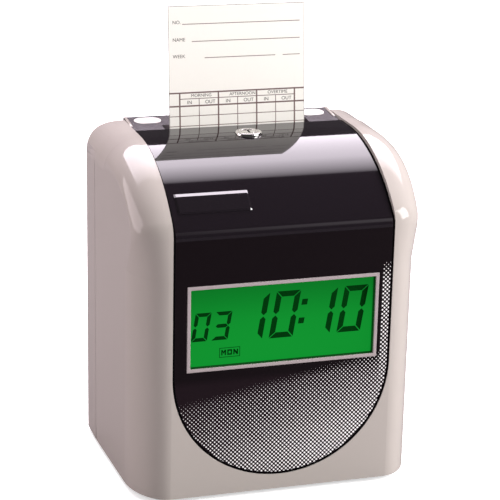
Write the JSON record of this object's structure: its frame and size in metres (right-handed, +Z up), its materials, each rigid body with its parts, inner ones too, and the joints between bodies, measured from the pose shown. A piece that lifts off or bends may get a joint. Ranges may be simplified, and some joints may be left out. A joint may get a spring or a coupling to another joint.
{
  "type": "electronic time clock",
  "caption": "Desk or wall time clock with a card slot in its top, a hinged front cover with a backlit digital display, a key lock and a card feed and printing mechanism inside.",
  "frame": {"origin": "on the table under the middle of the case, at the bottom of the feet", "axes": "+Z up, -Y out of the front face with the display, +X to the viewer's right"},
  "size_m": [0.178, 0.124, 0.2707],
  "materials": {
    "case_plastic": "satin moulded, warm light grey",
    "smoke_plastic": "high gloss smoke black",
    "face_print": "printed black with white halftone dots",
    "silver_trim": "satin silver lacquer",
    "lcd": "green backlit liquid crystal",
    "diffuser": "milky",
    "board": "green solder mask",
    "components": "matt black",
    "steel_sheet": "zinc plated",
    "shaft_steel": "ground steel",
    "screw_steel": "plated",
    "lock_chrome": "polished",
    "brass": "turned",
    "rubber": "matt",
    "dark_plastic": "fine moulded grain",
    "white_plastic": "moulded white",
    "red_plastic": "moulded red",
    "ink_ribbon": "inked nylon",
    "cell_wrap": "shrink sleeve",
    "motor_can": "black zinc",
    "core_steel": "laminated core",
    "card_paper": "uncoated card"
  },
  "bodies": {
    "chassis": {"base_tray": "steel_sheet", "feet": "rubber", "foot_screws": "screw_steel", "rear_case": "case_plastic", "top_cap": "smoke_plastic", "oval_inlays": "white_plastic", "inlet_socket": "dark_plastic", "case_screws": "screw_steel", "main_board": "board", "board_parts": "components", "board_screws": "screw_steel", "transformer": "core_steel", "backup_battery": "cell_wrap", "side_frame_left": "steel_sheet", "side_frame_right": "steel_sheet", "frame_screws": "screw_steel", "guide_front": "dark_plastic", "guide_rear": "steel_sheet", "card_stop": "dark_plastic", "platen": "rubber", "lock_strike": "steel_sheet", "carriage_rail": "shaft_steel", "carriage_motor": "motor_can", "ribbon_cassette": "dark_plastic", "ribbon": "ink_ribbon", "feed_motor": "motor_can", "button_plate": "dark_plastic", "button_board": "board", "hinge_pins": "shaft_steel"},
    "front_cover": {"cover_shell": "case_plastic", "front_panel": "smoke_plastic", "face_plate": "face_print", "badge_plate": "smoke_plastic", "lcd_bezel": "silver_trim", "lcd_glass": "lcd", "backlight": "diffuser", "display_board": "board", "display_screws": "screw_steel", "lock_barrel": "lock_chrome", "lock_nut": "brass"},
    "lock": {"lock_plug": "lock_chrome", "lock_cam": "lock_chrome"},
    "card": {"time_card": "card_paper"},
    "feed": {"feed_shaft": "shaft_steel", "feed_rollers": "rubber", "feed_gear": "white_plastic"},
    "pinion": {"motor_pinion": "brass"},
    "pinch": {"pinch_rollers": "rubber"},
    "screw": {"lead_screw": "shaft_steel"},
    "print_carriage": {"carriage": "dark_plastic", "print_head": "motor_can"},
    "knob": {"ribbon_knob": "dark_plastic"},
    "mode_key": {"mode_button": "white_plastic"},
    "up_key": {"up_button": "white_plastic"},
    "down_key": {"down_button": "white_plastic"},
    "set_key": {"set_button": "red_plastic"}
  },
  "joints": [
    {"name": "cover_hinge", "type": "hinge", "parent": "chassis", "child": "front_cover", "pos_m": [0, -0.054, 0.016], "axis": [1, 0, 0], "range_deg": [0, 80]},
    {"name": "lock_turn", "type": "hinge", "parent": "front_cover", "child": "lock", "pos_m": [0, 0.0139, 0.1979], "axis": [0, 0, -1], "range_deg": [0, 90]},
    {"name": "card_slide", "type": "slide", "parent": "chassis", "child": "card", "axis": [0, 0, 1], "range_m": [0, 0.1]},
    {"name": "feed_turn", "type": "hinge", "parent": "chassis", "child": "feed", "pos_m": [0, 0.0283, 0.095], "axis": [1, 0, 0], "range_deg": [-15, 834]},
    {"name": "pinion_turn", "type": "hinge", "parent": "chassis", "child": "pinion", "pos_m": [-0.056, 0.01215, 0.095], "axis": [1, 0, 0], "range_deg": [-2501, 45]},
    {"name": "pinch_turn", "type": "hinge", "parent": "chassis", "child": "pinch", "pos_m": [0, 0.0413, 0.095], "axis": [1, 0, 0], "range_deg": [-1167, 21]},
    {"name": "carriage_slide", "type": "slide", "parent": "chassis", "child": "print_carriage", "axis": [1, 0, 0], "range_m": [-0.024, 0.024]},
    {"name": "screw_turn", "type": "hinge", "parent": "chassis", "child": "screw", "pos_m": [0, 0.0113, 0.122], "axis": [1, 0, 0], "range_deg": [-1101, 1101]},
    {"name": "knob_turn", "type": "hinge", "parent": "chassis", "child": "knob", "pos_m": [0.036, -0.01, 0.167], "axis": [0, 0, 1], "continuous": true},
    {"name": "mode_press", "type": "slide", "parent": "chassis", "child": "mode_key", "axis": [0, 1, 0], "range_m": [0, 0.0012], "stiffness_N_per_m": 400},
    {"name": "up_press", "type": "slide", "parent": "chassis", "child": "up_key", "axis": [0, 1, 0], "range_m": [0, 0.0012], "stiffness_N_per_m": 400},
    {"name": "down_press", "type": "slide", "parent": "chassis", "child": "down_key", "axis": [0, 1, 0], "range_m": [0, 0.0012], "stiffness_N_per_m": 400},
    {"name": "set_press", "type": "slide", "parent": "chassis", "child": "set_key", "axis": [0, 1, 0], "range_m": [0, 0.0012], "stiffness_N_per_m": 400}
  ],
  "couplings": [
    {"joint": "feed_turn", "follows": "card_slide", "rad_per_m": 142.86},
    {"joint": "pinion_turn", "follows": "card_slide", "rad_per_m": -428.57},
    {"joint": "pinch_turn", "follows": "card_slide", "rad_per_m": -200},
    {"joint": "screw_turn", "follows": "carriage_slide", "rad_per_m": 785.4}
  ]
}
